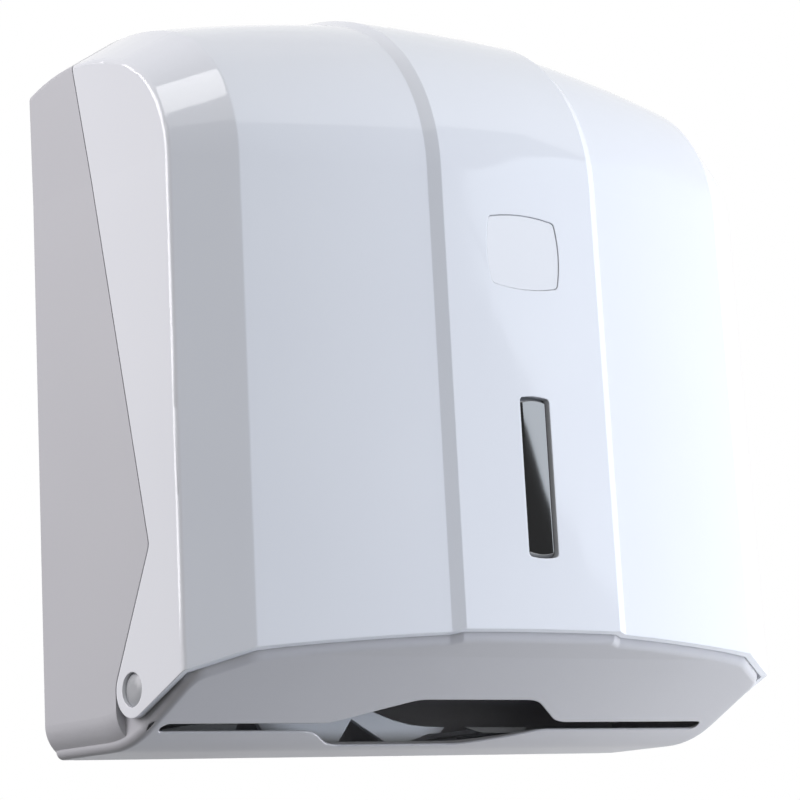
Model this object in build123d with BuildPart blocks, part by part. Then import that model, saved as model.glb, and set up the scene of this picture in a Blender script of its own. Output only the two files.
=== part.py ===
"""Wall-mounted dispenser for folded paper towels.

A grey rear housing with a sloping tray and a dispensing slot carries a white front cover that
swings forward and down on two pins, and a sprung push-key latch at the top holds it shut.
X runs across the wall, +Y goes into the wall and +Z is up. Depths d are measured out from the
wall, so Y = -d, and heights h are measured up from the bottom edge, so Z = h - origin_height.
"""

import os
from math import asin, atan2, cos, radians, sin, sqrt, tan

from build123d import *

os.makedirs("parts", exist_ok=True)

# ------------------------------------------------------------------ outer form
origin_height = 120.0  # the origin lies on the wall face, this far above the bottom edge
width = 275.0  # across the flat sides, at the bottom edge
draft_scale = 0.977  # how much narrower the case is where the bend starts
side_depth = 87.2  # wall to the front edge of the flat sides
facet_width = 21.4  # corner facet, measured across the front
facet_rise = 13.1
front_rise = 25.1  # the front at the foot of the raised band
front_bulge = 1.05
band_width = 72.4  # raised band, across its flat
band_step = 4.8  # width of the slope at each side of the band
band_height = 2.3
band_crown = 0.6
bend_height = 201.4  # where the front starts to turn into the roof
bend_radius = 42.3
bend_turn = 69.5
roof_radius = 91.1
edge_round = 2.5
wall = 2.4

# ------------------------------------------------------------------ seam and hinge
seam_gap = 0.5
seam_roof = 29.7  # depth of the seam across the roof
seam_elbow_depth = 69.2
seam_elbow_height = 67.8
hinge_depth = 56.2
hinge_rise = 15.333  # hinge line above the underside
ear_radius = 9.7
pin_radius = 5.92
pin_clearance = 0.08
pin_recess = 0.3
pin_flange_radius = 8.0
pin_flange = 1.6
boss_radius = 10.2
boss_length = 3.0
clip_radius = 8.4
clip_thickness = 0.8
clip_groove = 1.0

# ------------------------------------------------------------------ tray and slot
tray_flat = 34.9  # level part of the underside, out from the wall
tray_blend = 53.0
tray_slope = 27.7  # degrees, the sloping part of the underside
knee_lead = 13.1  # front edge of the flat sides to where the underside turns to its shallower front part
rim_slope = 21.8
rim_lift = 2.7  # the cover's lower edge above the underside
bottom_round = 12.0
cheek_gap = 1.4  # inside of the cover to the tray's side walls
cheek_round = 3.0
cheek_corner = 9.0  # upright corners of the tray, between its sides and the corner facets
facet_corner = 14.0  # the same, between the facets and the front
rim_gap = 0.3
slot_margin = 4.8  # slot's ends to the insides of the side walls
slot_shift = -2.6  # the slot lies a little to the left of the middle
slot_rear = 57.2
slot_front = 62.5
slot_lip = 0.7  # thickness of the underside at the edge of the slot
slot_relief = 4.0  # how far the thinner part reaches back from the edge
mouth_rear = 44.2
mouth_front = 76.0
mouth_front_half = 28.0  # half width of the wide mouth at its front edge
mouth_front_left_ramp = 31.0
mouth_front_right_ramp = 20.0
mouth_rear_left = 46.0
mouth_rear_right = 12.5
mouth_left_ramp = 15.5
mouth_right_ramp = 31.5
mouth_round = 17.0
strip_depth = 2.5  # joggle between the rear skin and the tray's side walls
cheek_setback = 8.0  # front edge of the flat sides back to where the side walls start to rise
tray_lip = 5.34  # height of the tray's front wall, before the case's outline cuts it
tray_overrun = 6.0  # how far the tray is drawn past the front, for the outline to cut

# ------------------------------------------------------------------ window and badge
window_width = 14.0
window_length = 57.0
window_bottom = 62.2
window_shift = 1.2
window_recess = 0.7
window_fit = 0.25
window_arch = 0.8  # how far the window's ends bow out
window_corner = 1.7
window_bevel = 1.3
window_flange = 2.5
window_plate = 1.4
pad_border = 7.0
retainer_thickness = 3.0
small_screw_radius = 0.9
small_head_radius = 1.9
small_head_height = 1.1
badge_width = 31.0
badge_length = 24.5
badge_bottom = 160.6
badge_shift = 0.4
badge_swell = 1.6
badge_depth = 1.5
badge_plate = 1.1
badge_fit = 0.2

# ------------------------------------------------------------------ latch
latch_width = 18.0
latch_arm_width = 11.0
latch_travel = 5.0
latch_fit = 0.3
latch_height = 21.0
latch_rear = 6.0
latch_front = 24.0
tooth_rear = 25.4
tooth_front = 28.0
tooth_length = 9.0  # above the slide
tooth_root = 6.0
tooth_gap = 1.5  # under the catch plate's nose, with the slide pressed down
post_depth = 12.0
post_radius = 2.3
post_length = 6.0
guide_wall = 2.0
guide_lip = 2.3
guide_shelf = 2.4
cap_thickness = 2.0
latch_flange_width = 10.0
latch_flange_height = 30.0
latch_flange = 2.4
latch_screw_half = 16.0
latch_screw_rise = 18.0
spring_radius = 3.1  # to the middle of the wire
spring_wire = 0.5
spring_length = 16.0  # with the slide pressed down
spring_pocket = 10.0
spring_turns = 5
catch_rear = 21.8
catch_nose = 3.0
catch_nose_length = 5.0
catch_thickness = 2.0
catch_drop = 3.88  # inside of the roof to the top of the catch plate
catch_front = 50.0
catch_pad_width = 24.0
catch_pad_step = 3.0
catch_screw_depth = 42.0
catch_screw_span = 13.0
key_radius = 2.6
key_bush_radius = 3.9
key_flange_radius = 5.5
screw_radius = 1.5
screw_head_radius = 2.9
screw_head_height = 1.8

# ------------------------------------------------------------------ wall fixings and towel stops
wall_screw_radius = 2.75
wall_screw_span = 190.0
wall_screw_rise = 145.0
wall_screw_low = 60.0
washer_radius = 7.0
washer_thickness = 1.2
guide_depth = 36.0  # front face of the towel stops
guide_plate = 2.0
guide_web = 2.0
guide_screw_height = 24.0
stop_foot = 12.0
stop_foot_thickness = 2.0
stop_web_left = 95.0
stop_web_right = 39.0
strip_web_left = 35.0
strip_web_right = 50.0
screw_grip = 1.6  # how far a screw reaches into the wall plate


def zz(height):
    return height - origin_height


def dh(depth, height):
    """A point of a side view, on the YZ plane."""
    return (-depth, height - origin_height)


def narrowing(height):
    return 1.0 - (1.0 - draft_scale) * min(height, bend_height) / bend_height


# ------------------------------------------------------------------ roof profile
turn = radians(bend_turn)
bend_depth = side_depth - bend_radius
roof_start = (bend_depth + bend_radius * cos(turn), bend_height + bend_radius * sin(turn))
roof_depth = roof_start[0] - roof_radius * cos(turn)
roof_centre = roof_start[1] - roof_radius * sin(turn)
crown_radius = roof_radius + front_rise + band_height + band_crown
roof_inside = roof_centre + sqrt((crown_radius - wall) ** 2 - (seam_roof - roof_depth) ** 2)
catch_top = roof_inside - catch_drop
catch_low = catch_top - catch_thickness
catch_nose_low = catch_low - catch_nose_length
tooth_top = catch_nose_low - tooth_gap
latch_top = tooth_top - tooth_length
latch_low = latch_top - latch_height

# ------------------------------------------------------------------ tray profile
slope = tan(radians(tray_slope))
rim_knee = side_depth + knee_lead
slope_start = tray_flat + tray_blend * tan(radians(tray_slope / 2))
blend_end = tray_flat + tray_blend * sin(radians(tray_slope))
knee_height = slope * (rim_knee - slope_start)


def tray_height(depth, lift=0.0):
    """Height of the underside, or of a surface lifted square to it, at a depth."""
    if depth <= tray_flat:
        return lift
    if depth <= blend_end:
        radius = tray_blend - lift
        return tray_blend - sqrt(radius**2 - (depth - tray_flat) ** 2)
    rise = lift / cos(radians(tray_slope))
    if depth <= rim_knee:
        return slope * (depth - slope_start) + rise
    return knee_height + tan(radians(rim_slope)) * (depth - rim_knee) + rise


def tray_edges(start, stop, lift=0.0):
    """The underside from one depth to another, as side view edges for the sketch in hand."""
    here = dh(start, tray_height(start, lift))
    if start < tray_flat:
        Line(here, dh(tray_flat, lift))
        here = dh(tray_flat, lift)
        start = tray_flat
    turn_end = min(stop, blend_end - lift * sin(radians(tray_slope)))
    middle = (start + turn_end) / 2
    bend = dh(turn_end, tray_height(turn_end, lift))
    ThreePointArc(here, dh(middle, tray_height(middle, lift)), bend)
    if stop > rim_knee:
        knee = dh(rim_knee, tray_height(rim_knee, lift))
        Polyline(bend, knee, dh(stop, tray_height(stop, lift)))
    elif stop > turn_end:
        Line(bend, dh(stop, tray_height(stop, lift)))
    return dh(stop, tray_height(stop, lift))


tray_front = side_depth + front_rise + tray_overrun
cheek_front_depth = side_depth - cheek_setback
cheek_front_height = tray_height(tray_front) + tray_lip
hinge_height = tray_height(hinge_depth) + hinge_rise
hinge_half = width / 2 * narrowing(hinge_height)
cheek_half = width / 2 - wall - cheek_gap
slot_half = cheek_half - wall - slot_margin

# ------------------------------------------------------------------ outer envelope
def inset_corners(corners, inset):
    """An open chain of straight sides moved in square to themselves; its two ends stay in line."""
    moved = []
    for (xa, ya), (xb, yb) in zip(corners, corners[1:]):
        long = sqrt((xb - xa) ** 2 + (yb - ya) ** 2)
        across, along = -(yb - ya) / long, (xb - xa) / long
        moved.append(((xa + across * inset, ya + along * inset), (xb - xa, yb - ya)))
    points = [(moved[0][0][0], corners[0][1])]
    for ((xa, ya), (ua, va)), ((xb, yb), (ub, vb)) in zip(moved, moved[1:]):
        step = ((xb - xa) * vb - (yb - ya) * ub) / (ua * vb - va * ub)
        points.append((xa + step * ua, ya + step * va))
    points.append((corners[-1][0], moved[-1][0][1]))
    return points


def section(plane, base, inset, scale):
    """Plan section of the case. Local Y grows out from the front edge of the flat sides."""
    chain = [
        (width / 2 * scale, -base),
        (width / 2 * scale, 0.0),
        ((width / 2 - facet_width) * scale, facet_rise),
        ((band_width / 2 + band_step) * scale, front_rise),
        (band_width / 2 * scale, front_rise + band_height),
        (0.0, front_rise + band_height),
    ]
    low, side, facet, foot, band, top = inset_corners(chain, inset)
    swell = ((facet[0] + foot[0]) / 2, (facet[1] + foot[1]) / 2 + front_bulge)
    with BuildSketch(plane) as sketch:
        with BuildLine():
            Polyline(low, side, facet)
            ThreePointArc(facet, swell, foot)
            Line(foot, band)
            ThreePointArc(band, (0.0, top[1] + band_crown), (-band[0], band[1]))
            Line((-band[0], band[1]), (-foot[0], foot[1]))
            ThreePointArc((-foot[0], foot[1]), (-swell[0], swell[1]), (-facet[0], facet[1]))
            Polyline((-facet[0], facet[1]), (-side[0], side[1]), (-low[0], low[1]), low)
        make_face()
        if inset == 0:
            corners = sketch.vertices().filter_by(lambda v: -1 < v.Y < facet_rise + 1)
            fillet(corners, radius=edge_round)
    return sketch.sketch.face()


def envelope(inset):
    """The case as a solid block, inset all round by a wall, from the wall face outwards."""
    upright = [
        section(Plane((0, -side_depth, zz(h)), x_dir=(1, 0, 0), z_dir=(0, 0, -1)),
                side_depth, inset, narrowing(h))
        for h in (-12.0, bend_height)
    ]
    bend = section(Plane((0, -side_depth, zz(bend_height)), x_dir=(1, 0, 0), z_dir=(0, 0, -1)),
                   bend_radius, inset, draft_scale)
    roof = section(Plane((0, -roof_start[0], zz(roof_start[1])), x_dir=(1, 0, 0),
                         z_dir=(0, -sin(turn), -cos(turn))), roof_radius, inset, draft_scale)
    with BuildPart() as body:
        loft(sections=upright, ruled=True)
        revolve(profiles=bend, axis=Axis((0, -bend_depth, zz(bend_height)), (-1, 0, 0)),
                revolution_arc=bend_turn)
        revolve(profiles=roof, axis=Axis((0, -roof_depth, zz(roof_centre)), (-1, 0, 0)),
                revolution_arc=150.0 - bend_turn)
        with BuildSketch(Plane.XZ):
            Rectangle(2 * width, 4 * width)
        extrude(amount=2 * width, mode=Mode.INTERSECT)
    return body.part


case_outside = envelope(0.0)
case_inside = envelope(wall)
tray_limit = envelope(wall + rim_gap)
tray_inside = envelope(2 * wall + rim_gap)

# screw places on the back plate, as X and Z
latch_screw_places = [(x, zz(latch_low + h)) for x in (-latch_screw_half, latch_screw_half)
                      for h in (latch_travel - latch_screw_rise / 2 + 2.0,
                                latch_travel + latch_screw_rise / 2 + 2.0)]
guide_screw_places = [(-x + stop_foot / 2 + guide_web / 2, zz(guide_screw_height))
                      for x in (stop_web_left, stop_web_right)]

# ------------------------------------------------------------------ front cover
rim_depth = side_depth + front_rise + 30.0


def seam(gap=0.0, top=330.0):
    """The seam in side view, from above the roof down to the ear, moved back by a gap."""
    return [
        dh(seam_roof - gap, top),
        dh(seam_roof - gap, 246.0),
        dh(seam_elbow_depth - gap, seam_elbow_height),
    ]


band_depth = side_depth + front_rise + band_height


def badge_block(fit, thickness):
    """Four-sided block with swelling sides, standing on the floor of the badge recess."""
    with BuildPart() as block:
        with BuildSketch(Plane.XZ.offset(band_depth - badge_depth + band_crown)) as outline:
            with BuildLine():
                x0 = badge_shift - badge_width / 2 + fit
                x1 = badge_shift + badge_width / 2 - fit
                z0, z1 = zz(badge_bottom) + fit, zz(badge_bottom + badge_length) - fit
                xm, zm = badge_shift, (z0 + z1) / 2
                ThreePointArc((x0, z0), (xm, z0 - badge_swell), (x1, z0))
                ThreePointArc((x1, z0), (x1 + badge_swell, zm), (x1, z1))
                ThreePointArc((x1, z1), (xm, z1 + badge_swell), (x0, z1))
                ThreePointArc((x0, z1), (x0 - badge_swell, zm), (x0, z0))
            make_face()
            fillet(outline.vertices(), radius=2.0)
        extrude(amount=thickness)
    return block.part


def window_block(start, fit, amount):
    """Upright block with bowed ends, drawn from one depth outwards or, if negative, inwards."""
    with BuildPart() as block:
        with BuildSketch(Plane.XZ.offset(start)) as outline:
            with BuildLine():
                x0, x1 = window_shift - window_width / 2 + fit, window_shift + window_width / 2 - fit
                z0, z1 = zz(window_bottom) + fit, zz(window_bottom + window_length) - fit
                Line((x0, z0), (x0, z1))
                ThreePointArc((x0, z1), (window_shift, z1 + window_arch), (x1, z1))
                Line((x1, z1), (x1, z0))
                ThreePointArc((x1, z0), (window_shift, z0 - window_arch), (x0, z0))
            make_face()
            fillet(outline.vertices(), radius=window_corner - fit)
        extrude(amount=amount)
    return block.part


with BuildPart() as front_cover:
    add(case_outside)
    add(case_inside, mode=Mode.SUBTRACT)
    with BuildSketch(Plane.YZ) as cover_side:
        with BuildLine():
            ear_back = dh(hinge_depth - ear_radius * cos(radians(28)),
                          hinge_height + ear_radius * sin(radians(28)))
            reach = side_depth - hinge_depth
            fall = hinge_height - tray_height(side_depth) - rim_lift
            lean = asin(ear_radius / sqrt(reach**2 + fall**2)) - atan2(fall, reach)
            ear_front = dh(hinge_depth + ear_radius * sin(lean), hinge_height - ear_radius * cos(lean))
            Polyline(dh(rim_depth, 330.0), *seam(), ear_back)
            ThreePointArc(ear_back, dh(hinge_depth - ear_radius * sin(radians(60)),
                                       hinge_height - ear_radius * cos(radians(60))), ear_front)
            Polyline(ear_front, dh(side_depth, tray_height(side_depth) + rim_lift),
                     dh(rim_knee, knee_height + rim_lift),
                     dh(rim_depth, tray_height(rim_depth) + rim_lift), dh(rim_depth, 330.0))
        make_face()
        elbow = cover_side.vertices().sort_by_distance(
            (*dh(seam_elbow_depth, seam_elbow_height), 0))[0]
        fillet(elbow, radius=5.0)
    extrude(amount=width, both=True, mode=Mode.INTERSECT)
    # flat pads behind the window and behind the badge
    with BuildSketch(Plane.XZ.offset(band_depth - wall - 1.2)):
        with Locations((window_shift, zz(window_bottom + window_length / 2))):
            Rectangle(window_width + 2 * pad_border, window_length + 2 * pad_border)
        with Locations((badge_shift, zz(badge_bottom + badge_length / 2))):
            Rectangle(badge_width + 10.0, badge_length + 10.0)
    extrude(amount=2.0)
    # pad under the roof for the catch plate
    with BuildPart(mode=Mode.PRIVATE) as roof_pad:
        add(case_inside)
        with BuildSketch(Plane.XY.offset(zz(catch_top))):
            with Locations((0, -(seam_roof + catch_pad_step + catch_front) / 2)):
                Rectangle(catch_pad_width, catch_front - seam_roof - catch_pad_step)
        extrude(amount=30.0, mode=Mode.INTERSECT)
    add(roof_pad.part)
    # window opening
    add(window_block(band_depth + 5.0, 0.0, -12.0), mode=Mode.SUBTRACT)
    # badge recess with swelling sides
    add(badge_block(0.0, 8.0), mode=Mode.SUBTRACT)
    # hinge holes in both ears
    with BuildSketch(Plane.YZ):
        with Locations(dh(hinge_depth, hinge_height)):
            Circle(pin_radius + pin_clearance)
    extrude(amount=width, both=True, mode=Mode.SUBTRACT)
    # blind holes for the window retainer's screws
    with BuildSketch(Plane.XZ.offset(band_depth - wall - 1.2)):
        with Locations((window_shift, zz(window_bottom + window_length / 2))):
            with GridLocations(window_width + 9.0, window_length + 8.0, 2, 2):
                Circle(small_screw_radius)
    extrude(amount=2.2, mode=Mode.SUBTRACT)
    # blind holes for the catch plate's screws
    with BuildSketch(Plane.XY.offset(zz(catch_top))):
        with Locations((0, -catch_screw_depth)):
            with GridLocations(catch_screw_span, 1.0, 2, 1):
                Circle(screw_radius)
    extrude(amount=3.2, mode=Mode.SUBTRACT)
front_cover.part.label = "front_cover"
export_step(front_cover.part, "parts/front_cover.step")

# ------------------------------------------------------------------ back housing
skin_front = hinge_depth - ear_radius - seam_gap  # front edge of the rear skin below the ears
clear_radius = ear_radius + seam_gap
ear_turn = radians(28)
skin_notch = dh(hinge_depth - clear_radius * cos(ear_turn), hinge_height + clear_radius * sin(ear_turn))
skin_elbow = dh(seam_elbow_depth - seam_gap, seam_elbow_height)

with BuildPart() as rear_block:
    add(case_outside)
    with BuildSketch(Plane.YZ) as rear_side:
        with BuildLine():
            end = tray_edges(-5.0, skin_front)
            Polyline(end, dh(skin_front, hinge_height))
            ThreePointArc(dh(skin_front, hinge_height),
                          dh(hinge_depth - clear_radius * cos(ear_turn / 2),
                             hinge_height + clear_radius * sin(ear_turn / 2)), skin_notch)
            Polyline(skin_notch, skin_elbow, *reversed(seam(seam_gap)[:2]), dh(-5.0, 330.0),
                     dh(-5.0, tray_height(-5.0)))
        make_face()
        corner = rear_side.vertices().sort_by_distance((*skin_elbow, 0))[0]
        fillet(corner, radius=5.0)
    extrude(amount=width, both=True, mode=Mode.INTERSECT)
    low_sides = rear_block.edges().filter_by(
        lambda e: abs(e.center().X) > width / 2 - 2 and e.center().Z < zz(4.0)
        and e.length > 10 and abs(e.tangent_at(0.5).Y) > 0.7)
    fillet(low_sides, radius=bottom_round)

with BuildPart() as rear_hollow:
    add(case_inside)
    with BuildSketch(Plane.YZ):
        with BuildLine():
            end = tray_edges(wall, skin_front + 40.0, wall)
            Polyline(end, dh(skin_front + 40.0, 330.0), dh(wall, 330.0), dh(wall, wall))
        make_face()
    extrude(amount=width, both=True, mode=Mode.INTERSECT)
    low_sides = rear_hollow.edges().filter_by(
        lambda e: abs(e.center().X) > width / 2 - wall - 2 and e.center().Z < zz(4.0 + wall)
        and e.length > 10 and abs(e.tangent_at(0.5).Y) > 0.7)
    fillet(low_sides, radius=bottom_round - wall)

with BuildPart() as tray:
    add(tray_limit)
    with BuildSketch(Plane.YZ) as tray_side:
        with BuildLine():
            end = tray_edges(1.0, tray_front)
            Polyline(end, dh(tray_front, cheek_front_height),
                     dh(cheek_front_depth, cheek_front_height), skin_elbow,
                     (skin_notch[0] + 4.0, skin_notch[1]), dh(skin_front - 4.0, 12.0),
                     dh(1.0, 12.0), dh(1.0, 0.0))
        make_face()
    extrude(amount=cheek_half, both=True, mode=Mode.INTERSECT)
    upright = tray.edges().filter_by(
        lambda e: abs(abs(e.center().X) - cheek_half) < 0.01 and abs(e.tangent_at(0.5).Z) > 0.95
        and e.center().Y < -cheek_front_depth)
    fillet(upright, radius=cheek_corner)
    upright = tray.edges().filter_by(
        lambda e: abs(e.tangent_at(0.5).Z) > 0.95 and -side_depth - 6 > e.center().Y > -side_depth - 16
        and abs(e.center().X) > width / 2 - facet_width - 12)
    fillet(upright, radius=facet_corner)
    low_edges = tray.edges().filter_by(
        lambda e: e.length > 0.5 and abs(e.tangent_at(0.5).Z) < 0.75 and e.center().Y < -20
        and e.center().Z < zz(tray_height(-e.center().Y) + 1.2)
        and (abs(abs(e.center().X) - cheek_half) < 0.05 or e.center().Y < -side_depth + 3))
    low_edges -= low_edges.filter_by(lambda e: e.length > 1.8 * (cheek_half - cheek_corner))
    fillet(low_edges, radius=cheek_round)
    with BuildPart(mode=Mode.PRIVATE) as tray_hollow:
        with BuildSketch(Plane.YZ):
            with BuildLine():
                end = tray_edges(wall, rim_depth + 5.0, wall)
                Polyline(end, dh(rim_depth + 5.0, 330.0), dh(wall, 330.0), dh(wall, wall))
            make_face()
        extrude(amount=cheek_half - wall, both=True)
        low_sides = tray_hollow.edges().filter_by(
            lambda e: abs(abs(e.center().X) - cheek_half + wall) < 0.01 and e.length > 4
            and abs(e.tangent_at(0.5).Y) > 0.5
            and e.center().Z < zz(tray_height(-e.center().Y, wall) + 1.5))
        fillet(low_sides, radius=cheek_round - wall)
        add(tray_inside, mode=Mode.INTERSECT)
    add(tray_hollow.part, mode=Mode.SUBTRACT)

# joggles between the rear skin and the tray's side walls, set back behind the seam
with BuildPart() as joggle:
    add(rear_block.part)
    with BuildSketch(Plane.YZ) as joggle_side:
        with BuildLine():
            Polyline(dh(skin_front, 1.0), dh(skin_front, hinge_height))
            ThreePointArc(dh(skin_front, hinge_height),
                          dh(hinge_depth - clear_radius * cos(ear_turn / 2),
                             hinge_height + clear_radius * sin(ear_turn / 2)), skin_notch)
            Polyline(skin_notch, skin_elbow, (skin_elbow[0] + strip_depth, skin_elbow[1]),
                     (skin_notch[0] + strip_depth, skin_notch[1]),
                     dh(skin_front - strip_depth, hinge_height), dh(skin_front - strip_depth, 1.0),
                     dh(skin_front, 1.0))
        make_face()
    extrude(amount=width, both=True, mode=Mode.INTERSECT)
    with BuildSketch(Plane.YZ):
        Rectangle(4 * width, 4 * width)
    extrude(amount=cheek_half - wall, both=True, mode=Mode.SUBTRACT)

with BuildPart() as back_housing:
    add(rear_block.part)
    add(rear_hollow.part, mode=Mode.SUBTRACT)
    add(tray.part)
    add(joggle.part)
    # dispensing slot with its wide mouth
    with BuildSketch(Plane.XY.offset(zz(-5.0))) as slot:
        with BuildLine():
            tip = (slot_front - slot_rear) / 2
            left, right = slot_shift - slot_half, slot_shift + slot_half
            left_rear, left_front = (left + tip, -slot_rear), (left + tip, -slot_front)
            right_rear, right_front = (right - tip, -slot_rear), (right - tip, -slot_front)
            Polyline(left_rear, (-mouth_rear_left - mouth_left_ramp, -slot_rear),
                     (-mouth_rear_left, -mouth_rear), (mouth_rear_right, -mouth_rear),
                     (mouth_rear_right + mouth_right_ramp, -slot_rear), right_rear)
            ThreePointArc(right_rear, (right, -(slot_rear + slot_front) / 2), right_front)
            Polyline(right_front, (mouth_front_half + mouth_front_right_ramp, -slot_front),
                     (mouth_front_half, -mouth_front), (-mouth_front_half, -mouth_front),
                     (-mouth_front_half - mouth_front_left_ramp, -slot_front), left_front)
            ThreePointArc(left_front, (left, -(slot_rear + slot_front) / 2), left_rear)
        make_face()
        fillet(slot.vertices().filter_by(lambda v: abs(v.X) < slot_half - 2 * tip), radius=mouth_round)
    extrude(amount=50.0, mode=Mode.SUBTRACT)
    # the underside thins to a lip at the edge of the slot
    with BuildPart(mode=Mode.PRIVATE) as relief:
        with BuildSketch(Plane.XY.offset(zz(-5.0))):
            add(slot.sketch_local)
            offset(amount=slot_relief)
        extrude(amount=50.0)
        with BuildSketch(Plane.YZ):
            with BuildLine():
                end = tray_edges(wall, mouth_front + 2 * slot_relief, slot_lip)
                Polyline(end, dh(mouth_front + 2 * slot_relief, cheek_front_height),
                         dh(wall, cheek_front_height), dh(wall, slot_lip))
            make_face()
        extrude(amount=width, both=True, mode=Mode.INTERSECT)
    add(relief.part, mode=Mode.SUBTRACT)
    # hinge bosses and their bores
    for side in (-1, 1):
        with BuildSketch(Plane.YZ.offset(side * (cheek_half - wall - boss_length))):
            with Locations(dh(hinge_depth, hinge_height)):
                Circle(boss_radius)
        extrude(amount=side * (boss_length + wall / 2))
    with BuildSketch(Plane.YZ):
        with Locations(dh(hinge_depth, hinge_height)):
            Circle(pin_radius + 0.02)
    extrude(amount=width, both=True, mode=Mode.SUBTRACT)
    # holes for the wall screws, the latch guide and the towel stops
    with BuildSketch(Plane.XZ.offset(-1.0)):
        with Locations((0, zz(wall_screw_low + wall_screw_rise / 2))):
            with GridLocations(wall_screw_span, wall_screw_rise, 2, 2):
                Circle(wall_screw_radius)
    extrude(amount=1.0 + 2 * wall, mode=Mode.SUBTRACT)
    with BuildSketch(Plane.XZ.offset(0.6)):
        with Locations(*latch_screw_places):
            Circle(screw_radius)
        with Locations(*guide_screw_places):
            Circle(screw_radius)
    extrude(amount=2 * wall, mode=Mode.SUBTRACT)
    # keyhole in the roof
    with BuildSketch(Plane.XY.offset(zz(tooth_top))):
        with Locations((0, -post_depth)):
            Circle(key_bush_radius)
    extrude(amount=2 * catch_front, mode=Mode.SUBTRACT)
back_housing.part.label = "back_housing"
export_step(back_housing.part, "parts/back_housing.step")

# ------------------------------------------------------------------ hinge pins and clips
bore_start = cheek_half - wall - boss_length  # inner face of the boss


def hinge_pin(side):
    """Plain pin with an inner flange, a clip groove outside the tray wall and a domed end."""
    tip = hinge_half - pin_recess
    groove = cheek_half + 0.1
    with BuildPart() as pin:
        with BuildSketch(Plane.XZ.offset(hinge_depth)):
            with BuildLine():
                low = zz(hinge_height)
                start = bore_start - pin_flange
                Polyline((start, low), (start, low + pin_flange_radius),
                         (bore_start, low + pin_flange_radius), (bore_start, low + pin_radius),
                         (groove, low + pin_radius), (groove, low + pin_radius - clip_groove),
                         (groove + clip_thickness + 0.1, low + pin_radius - clip_groove),
                         (groove + clip_thickness + 0.1, low + pin_radius),
                         (tip - 1.2, low + pin_radius))
                ThreePointArc((tip - 1.2, low + pin_radius), (tip - 0.35, low + pin_radius - 1.9),
                              (tip, low + pin_radius - 4.0))
                Polyline((tip, low + pin_radius - 4.0), (tip, low), (start, low))
            make_face()
        revolve(axis=Axis((0, -hinge_depth, low), (1, 0, 0)))
    return pin.part if side > 0 else mirror(pin.part, about=Plane.YZ)


def hinge_clip(side):
    """Open ring that snaps into the pin's groove from below."""
    with BuildPart() as clip:
        with BuildSketch(Plane.YZ.offset(side * (cheek_half + 0.15))):
            with Locations(dh(hinge_depth, hinge_height)):
                Circle(clip_radius)
                Circle(pin_radius - clip_groove + 0.05, mode=Mode.SUBTRACT)
            with Locations(dh(hinge_depth, hinge_height - clip_radius)):
                Rectangle(2 * (pin_radius - clip_groove) - 1.0, 2 * clip_radius,
                          mode=Mode.SUBTRACT)
        extrude(amount=side * clip_thickness)
    return clip.part


with BuildPart() as hinge_pin_right:
    add(hinge_pin(1))
with BuildPart() as hinge_pin_left:
    add(hinge_pin(-1))
with BuildPart() as hinge_clip_right:
    add(hinge_clip(1))
with BuildPart() as hinge_clip_left:
    add(hinge_clip(-1))

# ------------------------------------------------------------------ towel stops
stop_base = tray_height(guide_depth, wall) + 0.05  # just clear of the tray's inside
stop_outline = [
    (-112.0, stop_base), (-112.0, 7.8), (-106.0, 8.6), (-98.0, 9.7), (-94.0, 20.0), (-40.0, 20.0),
    (-24.0, 17.0), (-17.0, 13.5), (-9.2, 10.9), (-0.7, 9.0), (6.4, 8.4), (15.5, 8.1), (13.4, 5.9),
    (7.6, 5.6), (1.3, 3.7), (-3.6, stop_base), (-12.6, stop_base), (-28.3, 11.3),
    (-35.2, stop_base), (-66.0, stop_base), (-70.4, 9.6), (-71.0, 12.0), (-78.3, 12.0),
    (-80.6, 7.5), (-81.5, stop_base),
]
strip_outline = [(25.8, 8.1), (56.2, 7.9), (55.1, 6.4), (50.5, 5.7), (35.5, 5.8), (30.6, 6.6)]
foot_high = guide_screw_height + stop_foot / 2

with BuildPart() as towel_stop:
    with BuildSketch(Plane.XZ.offset(guide_depth - guide_plate)):
        with BuildLine():
            Polyline(*[(x, zz(h)) for x, h in stop_outline], close=True)
        make_face()
    extrude(amount=guide_plate)
    for x in (stop_web_left, stop_web_right):
        # web back to the wall plate, and the foot that takes the screw
        with BuildSketch(Plane.YZ.offset(-x)):
            with BuildLine():
                Polyline(dh(wall, stop_foot), dh(wall, foot_high),
                         dh(wall + 2 * stop_foot_thickness, foot_high),
                         dh(guide_depth - guide_plate, guide_screw_height - stop_foot / 2),
                         dh(guide_depth - guide_plate, stop_foot), close=True)
            make_face()
        extrude(amount=guide_web)
        with BuildSketch(Plane.XZ.offset(wall)):
            with Locations((-x + stop_foot / 2 + guide_web / 2, zz(guide_screw_height))):
                Rectangle(stop_foot + guide_web, stop_foot)
                Circle(screw_radius, mode=Mode.SUBTRACT)
        extrude(amount=stop_foot_thickness)

with BuildPart() as stop_strip:
    with BuildSketch(Plane.XZ.offset(guide_depth - guide_plate)):
        with BuildLine():
            Polyline(*[(x, zz(h)) for x, h in strip_outline], close=True)
        make_face()
    extrude(amount=guide_plate)
    with BuildSketch(Plane.XY.offset(zz(6.0))):
        for x in (strip_web_left, strip_web_right):
            with Locations((x, -(wall + guide_depth - guide_plate) / 2)):
                Rectangle(guide_web, guide_depth - guide_plate - wall)
    extrude(amount=1.8)


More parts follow.
